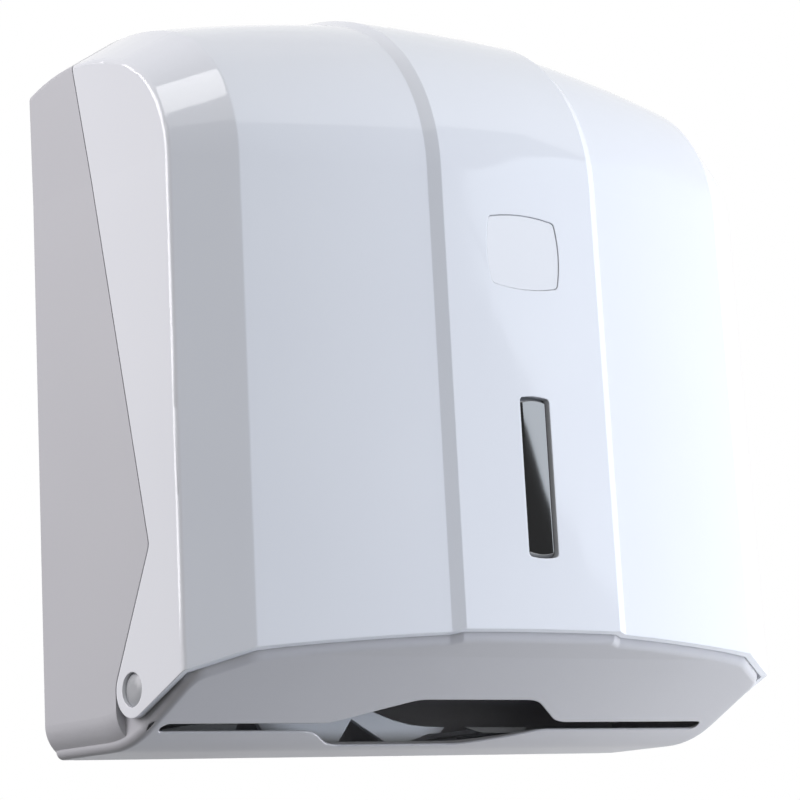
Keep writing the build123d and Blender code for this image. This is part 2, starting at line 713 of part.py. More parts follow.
def pan_screw(x, seat, z, length):
    """Pan-head screw along Y, its head seated at a depth and its shank running to the wall."""
    with BuildPart() as screw:
        with BuildSketch(Plane.XZ.offset(seat)):
            with Locations((x, z)):
                Circle(screw_head_radius)
        extrude(amount=screw_head_height)
        with BuildSketch(Plane.XZ.offset(seat - length)):
            with Locations((x, z)):
                Circle(screw_radius - 0.05)
        extrude(amount=length)
        with BuildSketch(Plane.XZ.offset(seat + screw_head_height / 2)):
            with Locations((x, z)):
                Rectangle(screw_head_radius * 1.1, screw_head_radius * 0.28)
                Rectangle(screw_head_radius * 0.28, screw_head_radius * 1.1)
        extrude(amount=screw_head_height, mode=Mode.SUBTRACT)
    return screw.part


with BuildPart() as stop_screws:
    for x, z in guide_screw_places:
        add(pan_screw(x, wall + stop_foot_thickness, z, stop_foot_thickness + screw_grip))

with BuildPart() as wall_washers:
    with BuildSketch(Plane.XZ.offset(wall)):
        with Locations((0, zz(wall_screw_low + wall_screw_rise / 2))):
            with GridLocations(wall_screw_span, wall_screw_rise, 2, 2):
                Circle(washer_radius)
                Circle(wall_screw_radius + 0.15, mode=Mode.SUBTRACT)
    extrude(amount=washer_thickness)

# ------------------------------------------------------------------ latch
cavity_half = latch_width / 2 + latch_fit
guide_half = cavity_half + guide_wall
shelf_top = latch_low + spring_pocket - spring_length
guide_top = latch_top + latch_travel + latch_fit
arm_half = latch_arm_width / 2
mid_depth = (latch_rear + latch_front) / 2

with BuildPart() as latch_guide:
    low, high = zz(shelf_top - guide_shelf), zz(guide_top)
    with BuildSketch(Plane.XZ.offset(wall)):
        with Locations((0, (low + high) / 2)):
            Rectangle(2 * guide_half, high - low)
    extrude(amount=latch_front + guide_lip - wall)
    with BuildSketch(Plane.XZ.offset(latch_rear - latch_fit)):
        with Locations((0, (zz(shelf_top) + high + 1.0) / 2)):
            Rectangle(2 * cavity_half, high + 1.0 - zz(shelf_top))
    extrude(amount=latch_front - latch_rear + 2 * latch_fit, mode=Mode.SUBTRACT)
    with BuildSketch(Plane.XZ.offset(latch_front - 1.0)):
        with Locations((0, (zz(shelf_top) + high + 1.0) / 2)):
            Rectangle(2 * arm_half + 1.0, high + 1.0 - zz(shelf_top))
    extrude(amount=5.0, mode=Mode.SUBTRACT)
    # fixing flanges
    with BuildSketch(Plane.XZ.offset(wall)):
        for side in (-1, 1):
            with Locations((side * (guide_half + latch_flange_width / 2),
                            zz(latch_low + latch_travel + 2.0))):
                Rectangle(latch_flange_width, latch_flange_height)
        with Locations(*latch_screw_places):
            Circle(screw_radius, mode=Mode.SUBTRACT)
    extrude(amount=latch_flange)

with BuildPart() as latch_slide:
    with BuildSketch(Plane.XZ.offset(latch_rear)):
        with Locations((0, zz(latch_low + latch_height / 2))):
            Rectangle(latch_width, latch_height)
    extrude(amount=latch_front - latch_rear)
    with BuildSketch(Plane.YZ):
        with BuildLine():
            Polyline(dh(latch_front - 4.0, latch_top), dh(tooth_rear, latch_top),
                     dh(tooth_rear, tooth_top), dh(tooth_rear + 1.2, tooth_top),
                     dh(tooth_front, tooth_top - 2.0), dh(tooth_front, latch_top - tooth_root),
                     dh(latch_front - 4.0, latch_top - tooth_root), close=True)
        make_face()
    extrude(amount=arm_half, both=True)
    with BuildSketch(Plane.XY.offset(zz(latch_top))):
        with Locations((0, -post_depth)):
            Circle(post_radius)
    extrude(amount=post_length)
    with BuildSketch(Plane.XY.offset(zz(latch_low))):
        with Locations((0, -mid_depth)):
            Circle(spring_radius + spring_wire + 0.6)
    extrude(amount=spring_pocket, mode=Mode.SUBTRACT)

with BuildPart() as latch_spring:
    coil_rise = spring_length - 2 * spring_wire
    with BuildLine():
        coil = Helix(pitch=coil_rise / spring_turns, height=coil_rise, radius=spring_radius,
                     center=(0, -mid_depth, zz(shelf_top) + spring_wire))
    with BuildSketch(Plane(coil @ 0, z_dir=coil % 0)):
        Circle(spring_wire)
    sweep(is_frenet=True)

with BuildPart() as latch_cap:
    with BuildSketch(Plane.XY.offset(zz(guide_top))):
        with Locations((0, -(wall + latch_front + guide_lip) / 2)):
            Rectangle(2 * guide_half, latch_front + guide_lip - wall)
        with Locations((0, -(latch_rear + 1.5 + latch_front))):
            Rectangle(2 * arm_half + 1.0, 2 * latch_front, mode=Mode.SUBTRACT)
    extrude(amount=cap_thickness)

with BuildPart() as latch_screws:
    for x, z in latch_screw_places:
        add(pan_screw(x, wall + latch_flange, z, latch_flange + screw_grip))

with BuildPart() as key_bush:
    with BuildPart(mode=Mode.PRIVATE) as bush_flange:
        add(case_inside)
        with BuildSketch(Plane.XY.offset(zz(catch_low))):
            with Locations((0, -post_depth)):
                Circle(key_flange_radius)
        extrude(amount=20.0, mode=Mode.INTERSECT)
    add(bush_flange.part)
    with BuildSketch(Plane.XY.offset(zz(catch_low))):
        with Locations((0, -post_depth)):
            Circle(key_bush_radius)
    extrude(amount=6.0)
    with BuildSketch(Plane.XY.offset(zz(tooth_top))):
        with Locations((0, -post_depth)):
            Circle(key_radius)
    extrude(amount=20.0, mode=Mode.SUBTRACT)

with BuildPart() as catch_plate:
    with BuildSketch(Plane.XY.offset(zz(catch_low))):
        with Locations((0, -(catch_rear + catch_front) / 2)):
            Rectangle(latch_arm_width - 0.6, catch_front - catch_rear)
        with Locations((0, -(seam_roof + catch_pad_step + 1.0 + catch_front) / 2)):
            Rectangle(catch_pad_width - 2.0, catch_front - seam_roof - catch_pad_step - 1.0)
        with Locations((0, -catch_screw_depth)):
            with GridLocations(catch_screw_span, 1.0, 2, 1):
                Circle(screw_radius, mode=Mode.SUBTRACT)
    extrude(amount=catch_thickness)

with BuildPart() as catch_hook:
    with BuildSketch(Plane.YZ):
        with BuildLine():
            Polyline(dh(catch_rear, catch_low), dh(catch_rear + catch_nose, catch_low),
                     dh(catch_rear + catch_nose, catch_nose_low),
                     dh(catch_rear + 1.2, catch_nose_low), dh(catch_rear, catch_nose_low + 1.6),
                     close=True)
        make_face()
    extrude(amount=latch_arm_width / 2 - 0.3, both=True)

with BuildPart() as catch_screws:
    for x in (-catch_screw_span / 2, catch_screw_span / 2):
        with BuildSketch(Plane.XY.offset(zz(catch_low))):
            with Locations((x, -catch_screw_depth)):
                Circle(screw_head_radius)
        extrude(amount=-screw_head_height)
        with BuildSketch(Plane.XY.offset(zz(catch_low))):
            with Locations((x, -catch_screw_depth)):
                Circle(screw_radius - 0.05)
        extrude(amount=catch_top - catch_low + 3.0)
        with BuildSketch(Plane.XY.offset(zz(catch_low - screw_head_height))):
            with Locations((x, -catch_screw_depth)):
                Rectangle(screw_head_radius * 1.1, screw_head_radius * 0.28)
                Rectangle(screw_head_radius * 0.28, screw_head_radius * 1.1)
        extrude(amount=screw_head_height * 0.5, mode=Mode.SUBTRACT)

# ------------------------------------------------------------------ level window
window_middle = zz(window_bottom + window_length / 2)
pad_depth = band_depth - wall - 1.2
window_front = band_depth + band_crown - window_recess

with BuildPart() as level_window:
    with BuildSketch(Plane.XZ.offset(pad_depth - window_plate)):
        with Locations((window_shift, window_middle)):
            Rectangle(window_width + 2 * window_flange, window_length + 2 * window_flange)
    extrude(amount=window_plate)
    add(window_block(pad_depth - window_plate, window_fit, window_front - pad_depth + window_plate))
    chamfer(level_window.faces().sort_by(Axis.Y)[0].edges(), length=window_bevel)

with BuildPart() as window_retainer:
    with BuildSketch(Plane.XZ.offset(pad_depth - retainer_thickness)):
        with Locations((window_shift, window_middle)):
            Rectangle(window_width + 2 * pad_border - 1.0, window_length + 2 * pad_border - 1.0)
            Rectangle(window_width - 4.0, window_length - 4.0, mode=Mode.SUBTRACT)
            with GridLocations(window_width + 9.0, window_length + 8.0, 2, 2):
                Circle(small_screw_radius + 0.1, mode=Mode.SUBTRACT)
    extrude(amount=retainer_thickness)
    with BuildSketch(Plane.XZ.offset(pad_depth - window_plate)):
        with Locations((window_shift, window_middle)):
            Rectangle(window_width + 2 * window_flange + 0.3, window_length + 2 * window_flange + 0.3)
    extrude(amount=5.0, mode=Mode.SUBTRACT)

with BuildPart() as retainer_screws:
    back = pad_depth - retainer_thickness
    with BuildSketch(Plane.XZ.offset(back - small_head_height)):
        with Locations((window_shift, window_middle)):
            with GridLocations(window_width + 9.0, window_length + 8.0, 2, 2):
                Circle(small_head_radius)
    extrude(amount=small_head_height)
    with BuildSketch(Plane.XZ.offset(back)):
        with Locations((window_shift, window_middle)):
            with GridLocations(window_width + 9.0, window_length + 8.0, 2, 2):
                Circle(small_screw_radius - 0.05)
    extrude(amount=retainer_thickness + 2.0)
    with BuildSketch(Plane.XZ.offset(back - small_head_height)):
        with Locations((window_shift, window_middle)):
            with GridLocations(window_width + 9.0, window_length + 8.0, 2, 2):
                Rectangle(small_head_radius * 1.2, small_head_radius * 0.3)
                Rectangle(small_head_radius * 0.3, small_head_radius * 1.2)
    extrude(amount=small_head_height * 0.5, mode=Mode.SUBTRACT)

# ------------------------------------------------------------------ badge
with BuildPart() as badge_inlay:
    add(badge_block(badge_fit, badge_plate))

for name, piece in {
    "hinge_pin_left": hinge_pin_left, "hinge_pin_right": hinge_pin_right,
    "hinge_clip_left": hinge_clip_left, "hinge_clip_right": hinge_clip_right,
    "towel_stop": towel_stop, "stop_strip": stop_strip, "stop_screws": stop_screws,
    "wall_washers": wall_washers, "latch_guide": latch_guide, "latch_slide": latch_slide,
    "latch_spring": latch_spring, "latch_cap": latch_cap, "latch_screws": latch_screws,
    "key_bush": key_bush, "catch_plate": catch_plate, "catch_hook": catch_hook,
    "catch_screws": catch_screws,
    "level_window": level_window, "window_retainer": window_retainer,
    "retainer_screws": retainer_screws, "badge_inlay": badge_inlay,
}.items():
    piece.part.label = name
    export_step(piece.part, f"parts/{name}.step")
    print(name, round(piece.part.volume, 1), piece.part.is_valid, len(piece.part.solids()))
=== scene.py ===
# %% [markdown]
# A wall dispenser for folded paper towels: a grey rear housing with a sloping tray and a slot, and a white front
# cover that swings down on two pins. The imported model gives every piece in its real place, so this lesson is about
# what the pieces are made of, the fine shape of the screws, washers and window, and how the studio is lit.

from math import cos, radians, sin, sqrt

import bmesh
import bpy
from mathutils import Matrix, Vector


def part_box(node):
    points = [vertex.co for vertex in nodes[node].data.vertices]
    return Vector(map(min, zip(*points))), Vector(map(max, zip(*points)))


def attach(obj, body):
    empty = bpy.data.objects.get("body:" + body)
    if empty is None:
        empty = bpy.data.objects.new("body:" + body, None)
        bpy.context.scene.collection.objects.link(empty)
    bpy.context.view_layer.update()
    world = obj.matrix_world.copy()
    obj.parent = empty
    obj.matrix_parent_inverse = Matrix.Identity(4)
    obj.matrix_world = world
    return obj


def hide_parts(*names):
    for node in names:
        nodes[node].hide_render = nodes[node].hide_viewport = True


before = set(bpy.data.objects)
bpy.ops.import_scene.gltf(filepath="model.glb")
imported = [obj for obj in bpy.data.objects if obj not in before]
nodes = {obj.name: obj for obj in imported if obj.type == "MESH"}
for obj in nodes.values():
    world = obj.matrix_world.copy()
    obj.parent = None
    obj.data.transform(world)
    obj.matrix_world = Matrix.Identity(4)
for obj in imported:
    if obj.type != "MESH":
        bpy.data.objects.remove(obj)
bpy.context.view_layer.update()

# %% [markdown]
# The camera stands to the left of the case and a little below it, and looks up, so that the left side, the front and
# the underside all show. Its lens is long: 137 mm on a 36 mm sensor keeps the case's lines almost parallel.

# %% Camera
yaw, pitch, roll = radians(38.85), radians(9.70), radians(-3.24)
camera_place = (-0.7137, -0.9260, -0.1831)
focal_over_width = 3050.0 / 800.0  # the focal length as a share of the picture's width
ahead = Vector((sin(yaw) * cos(pitch), cos(yaw) * cos(pitch), sin(pitch)))
level = Vector((cos(yaw), -sin(yaw), 0.0))
above = level.cross(ahead)
across = cos(roll) * level + sin(roll) * above
upward = -sin(roll) * level + cos(roll) * above
camera_optics = bpy.data.cameras.new("studio_camera")
camera_optics.sensor_width = 36.0
camera_optics.lens = focal_over_width * camera_optics.sensor_width
camera_optics.clip_end = 20.0
camera = bpy.data.objects.new("studio_camera", camera_optics)
turn = Matrix((across, upward, -ahead)).transposed().to_4x4()
camera.matrix_world = Matrix.Translation(camera_place) @ turn
bpy.context.scene.collection.objects.link(camera)
bpy.context.scene.camera = camera
print("camera lens", round(camera_optics.lens, 1), "mm")

# %% [markdown]
# Colours are written as sRGB hex values, as on a colour card, and one function turns them into the linear values
# that Blender works in. One more function adds a node, sets its values and links its inputs.


# %% Colour and node helpers
def linear(hex_colour):
    channels = [int(hex_colour[i:i + 2], 16) / 255 for i in (1, 3, 5)]
    return (*[c / 12.92 if c <= 0.04045 else ((c + 0.055) / 1.055) ** 2.4 for c in channels], 1.0)


def add_node(tree, kind, settings=None, values=None, links=None):
    """Adds a node with its settings and socket values, and links its inputs by name or number."""
    node = tree.nodes.new(kind)
    for key, value in (settings or {}).items():
        setattr(node, key, value)
    for key, value in (values or {}).items():
        node.inputs[key].default_value = value
    for key, source in (links or {}).items():
        tree.links.new(source, node.inputs[key])
    return node


def new_material(name):
    material = bpy.data.materials.new(name)
    material.use_nodes = True
    tree = material.node_tree
    tree.nodes.clear()
    surface = add_node(tree, "ShaderNodeBsdfPrincipled")
    add_node(tree, "ShaderNodeOutputMaterial", links={"Surface": surface.outputs[0]})
    return material, tree, surface


# %% [markdown]
# Most of the case is moulded ABS. The cover comes from a polished mould and is glossy; its skin has a faint
# orange peel, waves about 6 mm long and a few micrometres high, which bends long reflections a little. The housing
# comes from a spark-eroded mould: a grain of about 0.7 mm that makes it satin. A plastic's colour also drifts by a
# percent or two over a large moulding, so a broad noise moves the colour between two close values.


# %% Moulded plastics
drift_mm, wear_mm = 70.0, 25.0  # sizes of the patches of colour and of gloss
plastic_ior = 1.54


def moulded_plastic(name, light, dark, rough, grain_mm, grain_depth_mm, rough_spread=0.03, edge_mm=0.6):
    """A plastic between two close colours; the grain gives its relief and the edge the radius of its corners."""
    material, tree, surface = new_material(name)
    place = add_node(tree, "ShaderNodeTexCoord").outputs["Object"]
    drift = add_node(tree, "ShaderNodeTexNoise", values={"Scale": 1000 / drift_mm, "Detail": 2.0},
                     links={"Vector": place})
    colour = add_node(tree, "ShaderNodeMix", {"data_type": "RGBA"},
                      {"A": linear(dark), "B": linear(light)}, {"Factor": drift.outputs["Fac"]})
    tree.links.new(colour.outputs["Result"], surface.inputs["Base Color"])
    wear = add_node(tree, "ShaderNodeTexNoise", values={"Scale": 1000 / wear_mm, "Detail": 4.0},
                    links={"Vector": place})
    gloss = add_node(tree, "ShaderNodeMapRange",
                     values={"To Min": rough - rough_spread, "To Max": rough + rough_spread},
                     links={"Value": wear.outputs["Fac"]})
    tree.links.new(gloss.outputs["Result"], surface.inputs["Roughness"])
    grain = add_node(tree, "ShaderNodeTexNoise", values={"Scale": 1000 / grain_mm, "Detail": 2.0},
                     links={"Vector": place})
    edge = add_node(tree, "ShaderNodeBevel", {"samples": 8}, {"Radius": edge_mm / 1000})
    relief = add_node(tree, "ShaderNodeBump", values={"Strength": 1.0, "Distance": grain_depth_mm / 1000},
                      links={"Height": grain.outputs["Fac"], "Normal": edge.outputs["Normal"]})
    tree.links.new(relief.outputs["Normal"], surface.inputs["Normal"])
    surface.inputs["IOR"].default_value = plastic_ior
    return material


gloss_white_abs = moulded_plastic("gloss_white_abs", "#eceef2", "#e7e9ee", 0.06, 6.0, 0.003,
                                  rough_spread=0.012)
satin_grey_abs = moulded_plastic("satin_grey_abs", "#bfbfc3", "#b9b9bd", 0.42, 0.7, 0.006)
# A paler copy of the housing's grey for the towel stop and its strip: painted lighter to stand in for the light that
# reaches them through the slot.
grey_abs_painted_lit = moulded_plastic("grey_abs_painted_lit", "#d5d8dc", "#cfd2d6", 0.38, 0.7, 0.006)
badge_white_abs = moulded_plastic("badge_white_abs", "#eff0f3", "#eaebee", 0.22, 5.0, 0.003)
pin_grey_acetal = moulded_plastic("pin_grey_acetal", "#a9abae", "#a2a4a7", 0.35, 1.5, 0.004)
black_acetal = moulded_plastic("black_acetal", "#2b2c2e", "#252628", 0.45, 0.9, 0.008)
washer_rubber = moulded_plastic("washer_rubber", "#242425", "#1c1c1d", 0.75, 1.2, 0.02)
print("plastics made")

# %% [markdown]
# The level window is smoked polycarbonate with a thin half-mirror coating: almost black, with the sharpest and
# strongest reflections on the whole case. Bare polycarbonate has an index of refraction of about 1.58; the far higher
# one here stands for the coating.

# %% Smoked window
smoked_polycarbonate = moulded_plastic("smoked_polycarbonate", "#0e0f12", "#0a0b0d", 0.05, 9.0, 0.001,
                                       rough_spread=0.01, edge_mm=0.2)
coating_ior = 3.9
smoked_polycarbonate.node_tree.nodes["Principled BSDF"].inputs["IOR"].default_value = coating_ior

# %% [markdown]
# Screws and the catch plate are zinc-plated steel, bright with fine scratches from tumbling; the spring and the clips
# are drawn steel wire and strip.


# %% Steels
scratch_depth = 0.00001
gloss_spread = 0.08


def plated_steel(name, light, dark, rough, scratch_mm):
    """A bare metal between two close greys, with scratches of the given size in its gloss and relief."""
    material, tree, surface = new_material(name)
    place = add_node(tree, "ShaderNodeTexCoord").outputs["Object"]
    scratch = add_node(tree, "ShaderNodeTexNoise",
                       values={"Scale": 1000 / scratch_mm, "Detail": 6.0, "Roughness": 0.7},
                       links={"Vector": place})
    colour = add_node(tree, "ShaderNodeMix", {"data_type": "RGBA"},
                      {"A": linear(dark), "B": linear(light)}, {"Factor": scratch.outputs["Fac"]})
    tree.links.new(colour.outputs["Result"], surface.inputs["Base Color"])
    gloss = add_node(tree, "ShaderNodeMapRange",
                     values={"To Min": rough - gloss_spread, "To Max": rough + gloss_spread},
                     links={"Value": scratch.outputs["Fac"]})
    tree.links.new(gloss.outputs["Result"], surface.inputs["Roughness"])
    relief = add_node(tree, "ShaderNodeBump", values={"Strength": 1.0, "Distance": scratch_depth},
                      links={"Height": scratch.outputs["Fac"]})
    tree.links.new(relief.outputs["Normal"], surface.inputs["Normal"])
    surface.inputs["Metallic"].default_value = 1.0
    return material


zinc_plated_steel = plated_steel("zinc_plated_steel", "#c9ccd1", "#a9adb4", 0.3, 0.8)
drawn_spring_steel = plated_steel("drawn_spring_steel", "#9c9da1", "#7f8085", 0.28, 0.4)
print("steels made")

# %% [markdown]
# Each carried-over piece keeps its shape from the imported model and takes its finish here.

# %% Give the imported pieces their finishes
finishes = {
    gloss_white_abs: ["front_cover"],
    badge_white_abs: ["badge_inlay"],
    satin_grey_abs: ["back_housing"],
    # the towel stop's paler grey is painted light
    grey_abs_painted_lit: ["towel_stop", "stop_strip"],
    pin_grey_acetal: ["hinge_pin_left", "hinge_pin_right"],
    black_acetal: ["latch_guide", "latch_cap", "latch_slide", "key_bush", "window_retainer"],
    zinc_plated_steel: ["catch_plate", "catch_hook"],
    drawn_spring_steel: ["latch_spring", "hinge_clip_left", "hinge_clip_right"],
}
for finish, names in finishes.items():
    for name in names:
        piece = nodes[name]
        piece.data.materials.clear()
        piece.data.materials.append(finish)
print("finished pieces", sum(len(names) for names in finishes.values()))

# %% [markdown]
# Sixteen small pieces repeat: pan-head screws with a cross recess, in two head sizes, and the washers at the wall
# screw holes. One of each is modelled at the origin, along Z, with its crown, recess, thread and rounded rim. A small
# node tree then puts a copy on every point of a mesh that holds the real places.


# %% Fastener shapes
def turned(build, profile, segments=32):
    """Faces from a profile of (radius, height) in mm turned about Z; a radius of 0 closes the end."""
    rings = []
    for radius, height in profile:
        if radius == 0:
            rings.append([build.verts.new((0, 0, height / 1000))])
        else:
            rings.append([build.verts.new((radius / 1000 * cos(radians(360 * i / segments)),
                                           radius / 1000 * sin(radians(360 * i / segments)), height / 1000))
                          for i in range(segments)])
    for low_ring, high_ring in zip(rings, rings[1:]):
        for i in range(segments):
            after = (i + 1) % segments
            corners = [low_ring[i % len(low_ring)], low_ring[after % len(low_ring)],
                       high_ring[after % len(high_ring)], high_ring[i % len(high_ring)]]
            build.faces.new(list(dict.fromkeys(corners)))


def finished_object(name, build, material):
    """Turns a bmesh into an object with its finish, smooth but for the edges sharper than 35 degrees."""
    bmesh.ops.recalc_face_normals(build, faces=build.faces)
    mesh = bpy.data.meshes.new(name)
    build.to_mesh(mesh)
    build.free()
    mesh.materials.append(material)
    mesh.shade_smooth()
    mesh.set_sharp_from_angle(angle=radians(35))
    made = bpy.data.objects.new(name, mesh)
    bpy.context.scene.collection.objects.link(made)
    return made


core, tip, neck_gap = 0.82, 0.45, 0.02  # shares of the shank's radius, and mm under the head


def pan_screw(name, head_radius, head_height, shank_radius, length, pitch=0.6):
    """Sizes in mm. The head's seat is at height 0, its crown above it and the shank below."""
    build = bmesh.new()
    point = min(1.0, length / 3)
    shank = [(0.0, -length), (shank_radius * tip, -length), (shank_radius * 0.8, -length + point)]
    turns = max(int((length - point) / pitch), 1)
    for i in range(turns):
        at = -length + point + i * (length - point) / turns
        shank += [(shank_radius * core, at), (shank_radius, at + 0.25 * pitch), (shank_radius, at + 0.35 * pitch)]
    shank += [(shank_radius * core, -neck_gap), (head_radius * 0.97, 0.0)]
    crown = [(head_radius * cos(radians(a)), head_height * (0.35 + 0.65 * sin(radians(a)) ** 0.8))
             for a in (0, 15, 30, 45, 60, 72)]
    turned(build, shank + crown + [(0.0, head_height)])
    screw = finished_object(name, build, zinc_plated_steel)
    cross = bmesh.new()
    for wide, deep in ((1.05, 0.26), (0.26, 1.05)):
        block = bmesh.ops.create_cube(cross, size=1.0)["verts"]
        for corner in block:
            taper, height = (1.0, head_height * 1.3) if corner.co.z > 0 else (0.55, head_height * 0.35)
            corner.co = (corner.co.x * head_radius * wide * taper / 1000,
                         corner.co.y * head_radius * deep * taper / 1000, height / 1000)
    cutter = finished_object(name + "_recess", cross, zinc_plated_steel)
    cut = screw.modifiers.new("recess", "BOOLEAN")
    cut.object, cut.operation, cut.solver = cutter, "DIFFERENCE", "EXACT"
    cut.use_self = True
    screw.data = bpy.data.meshes.new_from_object(screw.evaluated_get(bpy.context.evaluated_depsgraph_get()))
    screw.modifiers.clear()
    bpy.data.objects.remove(cutter)
    return screw


def washer(name, outer, inner, thickness, rim=0.25):
    """A flat ring from its radii in mm, with its rims cut at a slant."""
    build = bmesh.new()
    turned(build, [(inner, rim), (inner, thickness - rim), (inner + rim, thickness), (outer - rim, thickness),
                   (outer, thickness - rim), (outer, rim), (outer - rim, 0.0), (inner + rim, 0.0), (inner, rim)], 48)
    bmesh.ops.remove_doubles(build, verts=build.verts, dist=1e-7)
    return finished_object(name, build, washer_rubber)


print("fastener shapes ready")


# %% Copies on points
def copies_tree(name):
    """Puts a piece on every point, turned to point the way that the inputs say."""
    tree = bpy.data.node_groups.new(name, "GeometryNodeTree")
    face = tree.interface
    face.new_socket("Points", in_out="INPUT", socket_type="NodeSocketGeometry")
    face.new_socket("Piece", in_out="INPUT", socket_type="NodeSocketObject")
    face.new_socket("Turn", in_out="INPUT", socket_type="NodeSocketVector")
    face.new_socket("Finish", in_out="INPUT", socket_type="NodeSocketMaterial")
    face.new_socket("Copies", in_out="OUTPUT", socket_type="NodeSocketGeometry")
    given = tree.nodes.new("NodeGroupInput")
    piece = add_node(tree, "GeometryNodeObjectInfo", links={"Object": given.outputs["Piece"]})
    turn_to = add_node(tree, "FunctionNodeEulerToRotation", links={0: given.outputs["Turn"]})
    placed = add_node(tree, "GeometryNodeInstanceOnPoints",
                      links={"Points": given.outputs["Points"], "Instance": piece.outputs["Geometry"],
                             "Rotation": turn_to.outputs[0]})
    real = add_node(tree, "GeometryNodeRealizeInstances", links={0: placed.outputs[0]})
    finish = add_node(tree, "GeometryNodeSetMaterial",
                      links={"Geometry": real.outputs[0], "Material": given.outputs["Finish"]})
    add_node(tree, "NodeGroupOutput", links={"Copies": finish.outputs[0]})
    return tree


fastener_copies = copies_tree("fastener_copies")


def place_copies(name, piece, places, turn_to, finish, body):
    """A new piece with one copy at each place (mm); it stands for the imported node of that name."""
    points = bpy.data.meshes.new(name + "_points")
    points.from_pydata([[value / 1000 for value in place] for place in places], [], [])
    made = bpy.data.objects.new(name + "_detail", points)
    bpy.context.scene.collection.objects.link(made)
    modifier = made.modifiers.new("copies", "NODES")
    modifier.node_group = fastener_copies
    socket = {item.name: item.identifier for item in fastener_copies.interface.items_tree if item.in_out == "INPUT"}
    modifier[socket["Piece"]] = piece
    modifier[socket["Turn"]] = turn_to
    modifier[socket["Finish"]] = finish
    made.data = bpy.data.meshes.new_from_object(made.evaluated_get(bpy.context.evaluated_depsgraph_get()))
    made.modifiers.clear()
    bpy.data.objects.remove(piece)
    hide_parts(name)
    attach(made, body)
    print(name, "copies", len(places), "faces", len(made.data.polygons))


# %% Fasteners in their places
out_of_wall, into_cover, upside_down = (radians(90), 0, 0), (radians(-90), 0, 0), (radians(180), 0, 0)
place_copies("stop_screws", pan_screw("stop_screw", 2.9, 1.8, 1.45, 3.6),
             [(x, -4.4, -96.0) for x in (-88.0, -32.0)], out_of_wall, zinc_plated_steel, "housing")
place_copies("latch_screws", pan_screw("latch_screw", 2.9, 1.8, 1.45, 4.0),
             [(x, -4.8, z) for x in (-16.0, 16.0) for z in (108.0, 126.0)],
             out_of_wall, zinc_plated_steel, "housing")
place_copies("catch_screws", pan_screw("catch_screw", 2.9, 1.8, 1.45, 5.0),
             [(x, -42.0, 146.5) for x in (-6.5, 6.5)], upside_down, zinc_plated_steel, "cover")
place_copies("retainer_screws", pan_screw("retainer_screw", 1.9, 1.1, 0.85, 5.0, pitch=0.45),
             [(x, -108.0, z) for x in (-10.3, 12.7) for z in (-61.8, 3.2)],
             into_cover, zinc_plated_steel, "cover")
place_copies("wall_washers", washer("wall_washer", 7.0, 2.9, 1.2),
             [(x, -2.4, z) for x in (-95.0, 95.0) for z in (-60.0, 85.0)], out_of_wall, washer_rubber, "housing")

# %% [markdown]
# The window's lens is polished: its front is very slightly crowned and its edges fall away in a soft bevel, so a long
# reflection runs across it at a slant and the bevel draws a line round it. Each ring of the lens is the window's
# outline, set in by some distance; the rings are joined by faces, and the last one is closed column by column.


# %% The window's lens
def lens_outline(inset):
    """Columns across the lens, as x and half height in mm; the ends bow out and the corners are round."""
    half = lens_half_width - inset
    corner = max(lens_corner - inset, least_corner)
    steps = [corner * (1 - cos(radians(15 * i))) for i in range(7)]
    across = [-half + step for step in steps] + [
        (half - corner) * (i / 8) for i in range(-7, 8)] + [half - step for step in reversed(steps)]
    columns = []
    for x in across:
        edge = min(half - abs(x), corner)
        rounding = corner - sqrt(max(corner**2 - (corner - edge)**2, 0.0))
        columns.append((x, lens_half_height - inset + lens_bow * (1 - (x / half)**2) - rounding))
    return columns


lens_half_width, lens_half_height, lens_bow, lens_corner = 6.75, 28.25, 0.8, 1.45
least_corner = 0.12
lens_place, lens_depth, lens_back = (1.2, -29.3), 114.5, 111.0
crown_radius, crown_offset = 955.0, -9.2
# how far each ring is set in and set back: up the side, round the edge, along the bevel and onto the front
lens_rings = [(0.0, lens_depth - lens_back), (0.0, 1.36), (0.05, 1.22), (0.14, 1.1), (1.05, 0.17), (1.2, 0.06),
              (1.38, 0.012), (1.6, 0.0)]
lens_build = bmesh.new()


def lens_point(x, z, set_back):
    """A point of the lens in the case's frame; all but the backmost ring follow the crown of the front."""
    fall = (x - crown_offset)**2 / (2 * crown_radius) if set_back < 2 else 0.0
    return lens_build.verts.new(((lens_place[0] + x) / 1000, -(lens_depth - set_back - fall) / 1000,
                                 (lens_place[1] + z) / 1000))


loops = []
for inset, set_back in lens_rings:
    columns = lens_outline(inset)
    upper = [lens_point(x, z, set_back) for x, z in columns]
    lower = [lens_point(x, -z, set_back) for x, z in reversed(columns)]
    loops.append(upper + lower)
for ring, following in zip(loops, loops[1:]):
    for i in range(len(ring)):
        after = (i + 1) % len(ring)
        lens_build.faces.new((ring[i], ring[after], following[after], following[i]))
last, count = loops[-1], len(loops[-1])
for i in range(count // 2 - 1):
    lens_build.faces.new((last[i], last[i + 1], last[count - 2 - i], last[count - 1 - i]))
low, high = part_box("level_window")
plate = bmesh.ops.create_cube(lens_build, size=1.0)["verts"]
plate_front = -lens_back / 1000
for corner in plate:
    corner.co = ((low[0] if corner.co.x < 0 else high[0]), (plate_front if corner.co.y < 0 else high[1]),
                 (low[2] if corner.co.z < 0 else high[2]))
bmesh.ops.recalc_face_normals(lens_build, faces=lens_build.faces)
lens_mesh = bpy.data.meshes.new("window_lens")
lens_build.to_mesh(lens_mesh)
lens_build.free()
lens = bpy.data.objects.new("window_lens", lens_mesh)
bpy.context.scene.collection.objects.link(lens)
lens_mesh.materials.append(smoked_polycarbonate)
lens_mesh.shade_smooth()
lens_mesh.set_sharp_from_angle(angle=radians(50))
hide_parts("level_window")
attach(lens, "cover")
print("lens faces", len(lens_mesh.polygons))

